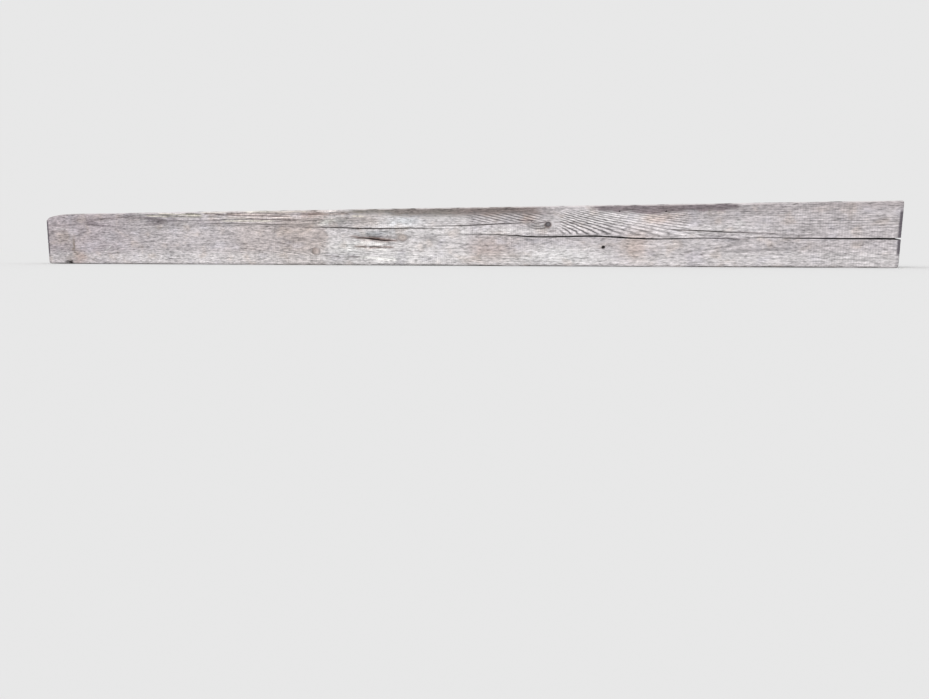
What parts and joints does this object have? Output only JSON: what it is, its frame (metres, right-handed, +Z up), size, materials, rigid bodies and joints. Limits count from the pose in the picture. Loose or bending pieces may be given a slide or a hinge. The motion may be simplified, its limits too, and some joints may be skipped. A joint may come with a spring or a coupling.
{
  "type": "railway sleeper",
  "caption": "Sawn timber railway sleeper, weathered and checked, with wane on its edges, two rail seats and screw holes in its top.",
  "frame": {"origin": "middle of the bottom face", "axes": "+X along the timber, +Y from the pictured side to the back, +Z up"},
  "size_m": [2.75, 0.25, 0.18],
  "materials": {
    "timber": "bare softwood weathered silver grey, rough, with pinkish and brown tints and dark stains"
  },
  "bodies": {
    "root": {"sleeper": "timber"}
  },
  "joints": []
}
